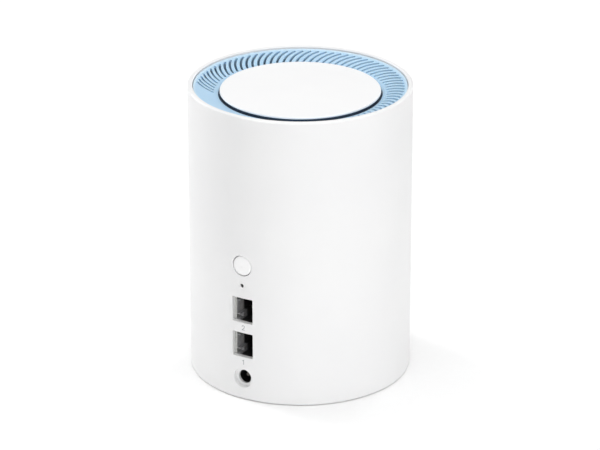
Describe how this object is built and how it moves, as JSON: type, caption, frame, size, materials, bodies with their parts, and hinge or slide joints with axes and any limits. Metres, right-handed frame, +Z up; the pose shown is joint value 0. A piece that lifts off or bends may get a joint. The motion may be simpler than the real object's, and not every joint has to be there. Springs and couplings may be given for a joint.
{
  "type": "mesh wifi node",
  "caption": "Round desk wifi node with a slotted blue vent ring, top disc, pairing button, reset pinhole, network sockets and a power socket.",
  "frame": {"origin": "on the desk plane under the middle of the unit, level with the undersides of the feet", "axes": "+Z up; the sockets, button and reset pinhole face -Y; +X to the right when facing the sockets"},
  "size_m": [0.1, 0.1, 0.1345],
  "materials": {
    "shell_white": "fine satin moulding",
    "base_white": "fine grained moulding",
    "ring_blue": "satin moulding",
    "disc_white": "smooth satin moulding",
    "button_white": "smooth",
    "foot_rubber": "matte",
    "screw_steel": "zinc plated",
    "frame_black": "fine grained moulding",
    "board_green": "solder mask",
    "shield_tin": "tin plated",
    "insert_black": "moulded",
    "contact_gold": "gilt",
    "pin_nickel": "nickel plated",
    "switch_black": "moulded",
    "plunger_black": "moulded",
    "chip_black": "moulded epoxy",
    "can_tin": "tin plated sheet",
    "capacitor_can": "drawn can",
    "inductor_grey": "pressed ferrite",
    "sink_aluminium": "extruded",
    "pad_grey": "soft silicone",
    "pin_plastic": "moulded nylon",
    "antenna_board": "printed board",
    "lead_grey": "coaxial jacket",
    "connector_gold": "gilt",
    "lamp_epoxy": "cast epoxy",
    "pipe_clear": "clear acrylic"
  },
  "bodies": {
    "unit": {"outer_shell": "shell_white", "vent_ring": "ring_blue", "disc_carrier": "frame_black", "top_disc": "disc_white", "base_cover": "base_white", "rubber_feet": "foot_rubber", "base_screws": "screw_steel", "frame_screws": "screw_steel", "board_screws": "screw_steel", "inner_frame": "frame_black", "main_board": "board_green", "lan_jack_shield": "shield_tin", "lan_jack_insert": "insert_black", "lan_jack_contacts": "contact_gold", "wan_jack_shield": "shield_tin", "wan_jack_insert": "insert_black", "wan_jack_contacts": "contact_gold", "power_jack_housing": "insert_black", "power_jack_pin": "pin_nickel", "power_jack_leaf": "pin_nickel", "pair_switch_case": "switch_black", "pair_switch_bracket": "can_tin", "reset_switch_case": "switch_black", "reset_switch_bracket": "can_tin", "status_lamp": "lamp_epoxy", "light_pipe": "pipe_clear", "processor_chip": "chip_black", "memory_chip": "chip_black", "flash_chip": "chip_black", "clock_crystal": "can_tin", "radio_chip": "chip_black", "network_transformers": "chip_black", "power_inductors": "inductor_grey", "radio_can": "can_tin", "filter_capacitors": "capacitor_can", "thermal_pad": "pad_grey", "heat_sink": "sink_aluminium", "heat_sink_pins": "pin_plastic", "antenna_sockets": "connector_gold", "antenna_plugs": "connector_gold", "long_antenna_front": "antenna_board", "long_antenna_front_lead": "lead_grey", "long_antenna_rear": "antenna_board", "long_antenna_rear_lead": "lead_grey", "short_antenna_front": "antenna_board", "short_antenna_front_lead": "lead_grey", "short_antenna_rear": "antenna_board", "short_antenna_rear_lead": "lead_grey"},
    "pair_key": {"pair_button": "button_white", "pair_switch_plunger": "plunger_black"},
    "reset_key": {"reset_switch_plunger": "plunger_black"}
  },
  "joints": [
    {"name": "pair_press", "type": "slide", "parent": "unit", "child": "pair_key", "axis": [0, 1, 0], "range_m": [0, 0.0003], "stiffness_N_per_m": 1500, "springref_m": -0.0005},
    {"name": "reset_press", "type": "slide", "parent": "unit", "child": "reset_key", "axis": [0, 1, 0], "range_m": [0, 0.0003], "stiffness_N_per_m": 1500, "springref_m": -0.0005}
  ]
}
